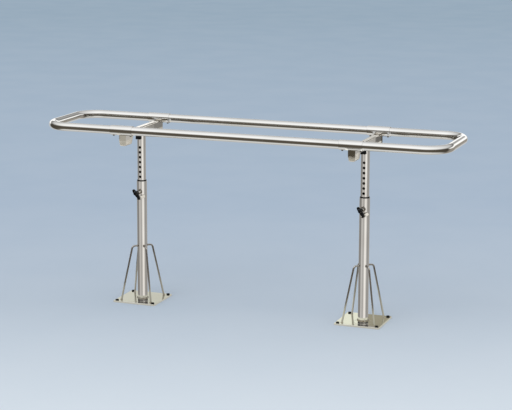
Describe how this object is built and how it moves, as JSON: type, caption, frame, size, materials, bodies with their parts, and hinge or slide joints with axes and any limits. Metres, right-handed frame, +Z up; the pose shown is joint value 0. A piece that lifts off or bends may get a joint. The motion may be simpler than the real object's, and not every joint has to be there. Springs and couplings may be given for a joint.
{
  "type": "walking exercise parallel bars",
  "caption": "Closed rounded handrail loop of polished stainless tube on telescopic centre columns with square floor plates, bent stay rods and lever index pins",
  "frame": {"origin": "on the floor, under the middle of the rail loop", "axes": "+X along the rails, -Y towards the side with the levers and knobs, +Z up"},
  "size_m": [2.0824, 0.5004, 0.9292],
  "materials": {
    "rail_steel": "polished stainless steel tube",
    "column_steel": "polished stainless steel tube, slightly duller",
    "plate_steel": "bright polished stainless plate",
    "rod_steel": "bent round bar, brushed",
    "satin_steel": "pressed stainless sheet, satin",
    "fitting_steel": "polished folded stainless sheet",
    "fastener_steel": "turned stainless steel",
    "weld_steel": "cleaned weld bead",
    "black_plastic": "moulded black plastic, satin",
    "black_nylon": "turned black nylon, dull"
  },
  "bodies": {
    "stands": {"left_anchor_ferrules": "black_nylon", "left_base_plate": "plate_steel", "left_foot_weld": "weld_steel", "left_guide_collar": "black_nylon", "left_housing_cap": "fastener_steel", "left_lever_bracket": "fitting_steel", "left_lever_pivot": "fastener_steel", "left_outer_column": "column_steel", "left_pin_housing": "fitting_steel", "left_pin_spring": "fastener_steel", "left_stay_rods": "rod_steel", "right_anchor_ferrules": "black_nylon", "right_base_plate": "plate_steel", "right_foot_weld": "weld_steel", "right_guide_collar": "black_nylon", "right_housing_cap": "fastener_steel", "right_lever_bracket": "fitting_steel", "right_lever_pivot": "fastener_steel", "right_outer_column": "column_steel", "right_pin_housing": "fitting_steel", "right_pin_spring": "fastener_steel", "right_stay_rods": "rod_steel"},
    "upper_frame": {"front_middle_rail": "rail_steel", "left_arm_spigot": "fitting_steel", "left_column_glide": "black_nylon", "left_cross_arm": "fitting_steel", "left_end_loop": "rail_steel", "left_front_end_block": "satin_steel", "left_front_sleeve": "rail_steel", "left_inner_column": "column_steel", "left_rear_end_block": "satin_steel", "left_rear_sleeve": "rail_steel", "left_sleeve_screws": "fastener_steel", "rear_middle_rail": "rail_steel", "right_arm_spigot": "fitting_steel", "right_column_glide": "black_nylon", "right_cross_arm": "fitting_steel", "right_end_loop": "rail_steel", "right_front_end_block": "satin_steel", "right_front_sleeve": "rail_steel", "right_inner_column": "column_steel", "right_rear_end_block": "satin_steel", "right_rear_sleeve": "rail_steel", "right_sleeve_screws": "fastener_steel"},
    "left_knob": {"left_head_knob": "black_plastic", "left_knob_screw": "fastener_steel"},
    "left_pin": {"left_index_pin": "fastener_steel", "left_pin_button": "black_plastic"},
    "left_lever": {"left_release_lever": "black_plastic"},
    "right_knob": {"right_head_knob": "black_plastic", "right_knob_screw": "fastener_steel"},
    "right_pin": {"right_index_pin": "fastener_steel", "right_pin_button": "black_plastic"},
    "right_lever": {"right_release_lever": "black_plastic"}
  },
  "joints": [
    {"name": "height_slide", "type": "slide", "parent": "stands", "child": "upper_frame", "axis": [0, 0, 1], "range_m": [-0.2, 0.05]},
    {"name": "left_lever_hinge", "type": "hinge", "parent": "stands", "child": "left_lever", "pos_m": [-0.58542, -0.064, 0.53651], "axis": [0.8829, 0, 0.4695], "range_deg": [-13, 0]},
    {"name": "left_pin_slide", "type": "slide", "parent": "stands", "child": "left_pin", "axis": [0, -1, 0], "range_m": [-0.007, 0], "deforming": ["left_pin_spring"]},
    {"name": "left_knob_turn", "type": "hinge", "parent": "upper_frame", "child": "left_knob", "pos_m": [-0.5995, -0.035, 0.8455], "axis": [0, -1, 0], "range_deg": [0, 270]},
    {"name": "right_lever_hinge", "type": "hinge", "parent": "stands", "child": "right_lever", "pos_m": [0.58958, -0.064, 0.53651], "axis": [0.8829, 0, 0.4695], "range_deg": [-13, 0]},
    {"name": "right_pin_slide", "type": "slide", "parent": "stands", "child": "right_pin", "axis": [0, -1, 0], "range_m": [-0.007, 0], "deforming": ["right_pin_spring"]},
    {"name": "right_knob_turn", "type": "hinge", "parent": "upper_frame", "child": "right_knob", "pos_m": [0.5755, -0.035, 0.8455], "axis": [0, -1, 0], "range_deg": [0, 270]}
  ],
  "couplings": [
    {"joint": "left_pin_slide", "follows": "left_lever_hinge", "m_per_rad": 0.0308},
    {"joint": "right_pin_slide", "follows": "right_lever_hinge", "m_per_rad": 0.0308}
  ]
}
